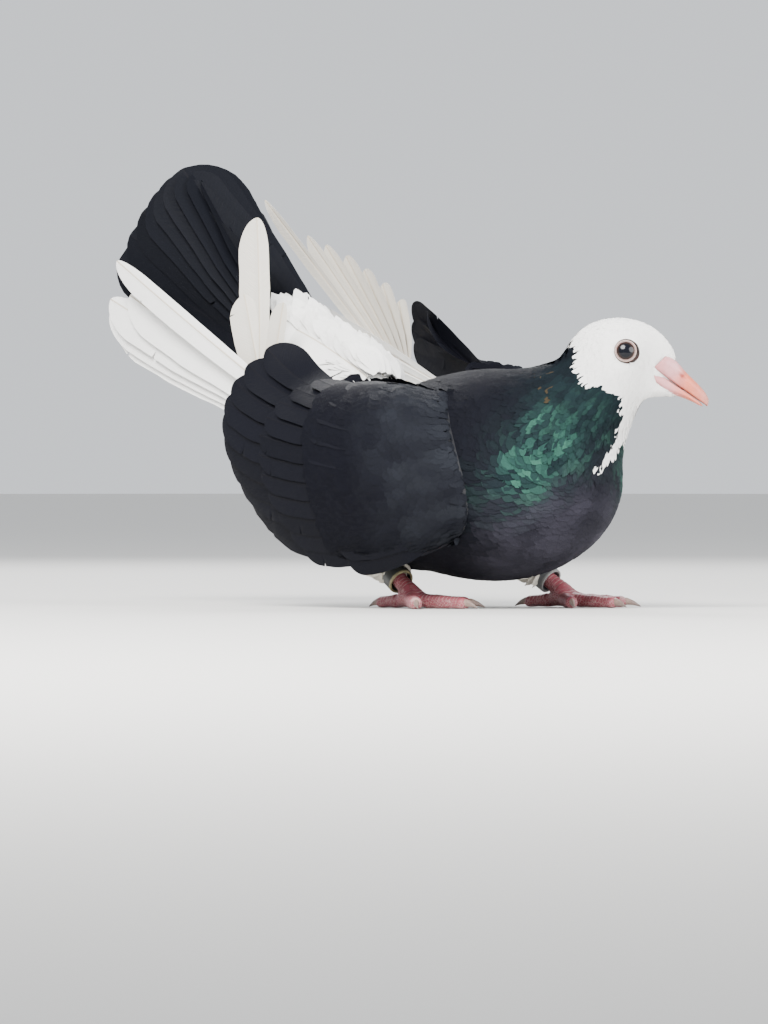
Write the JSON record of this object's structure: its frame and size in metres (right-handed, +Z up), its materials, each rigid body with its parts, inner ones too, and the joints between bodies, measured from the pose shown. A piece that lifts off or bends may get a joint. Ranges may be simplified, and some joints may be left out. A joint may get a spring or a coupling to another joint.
{
  "type": "pigeon",
  "caption": "Donek pigeon at life size, crouching with its tail cocked: black with white head, throat, rump and primaries, green gloss on the neck, pink bill, red feet and leg rings.",
  "frame": {"origin": "the middle of the bird's footprint, on the floor", "axes": "+X is where the body faces, +Y is the bird's left, +Z is up"},
  "size_m": [0.2436, 0.1113, 0.1521],
  "materials": {
    "black_plumage": "black feathers with a green and violet gloss on the neck",
    "black_tail": "black feathers, slightly glossy",
    "white_plumage": "soft white feathers",
    "eye": "wet, nearly black",
    "bill": "flesh pink horn",
    "foot_skin": "scaly red skin",
    "claw_horn": "pale horn",
    "ring_dark": "dark, with an olive rim",
    "ring_grey": "grey"
  },
  "bodies": {
    "root": {"torso": "black_plumage", "neck": "black_plumage", "wing_right": "black_plumage", "wing_left": "black_plumage", "tail": "black_tail", "head": "white_plumage", "primaries_right_low": "white_plumage", "primaries_right_high": "white_plumage", "primaries_left_low": "white_plumage", "primaries_left_high": "white_plumage", "rump": "white_plumage", "vent": "white_plumage", "thigh_right": "white_plumage", "thigh_left": "white_plumage", "eye_right": "eye", "eye_left": "eye", "bill_upper": "bill", "bill_lower": "bill", "foot_right": "foot_skin", "foot_left": "foot_skin", "claw_right_1": "claw_horn", "claw_right_2": "claw_horn", "claw_right_3": "claw_horn", "claw_right_4": "claw_horn", "claw_left_1": "claw_horn", "claw_left_2": "claw_horn", "claw_left_3": "claw_horn", "claw_left_4": "claw_horn", "ring_right": "ring_dark", "ring_left": "ring_grey"}
  },
  "joints": []
}
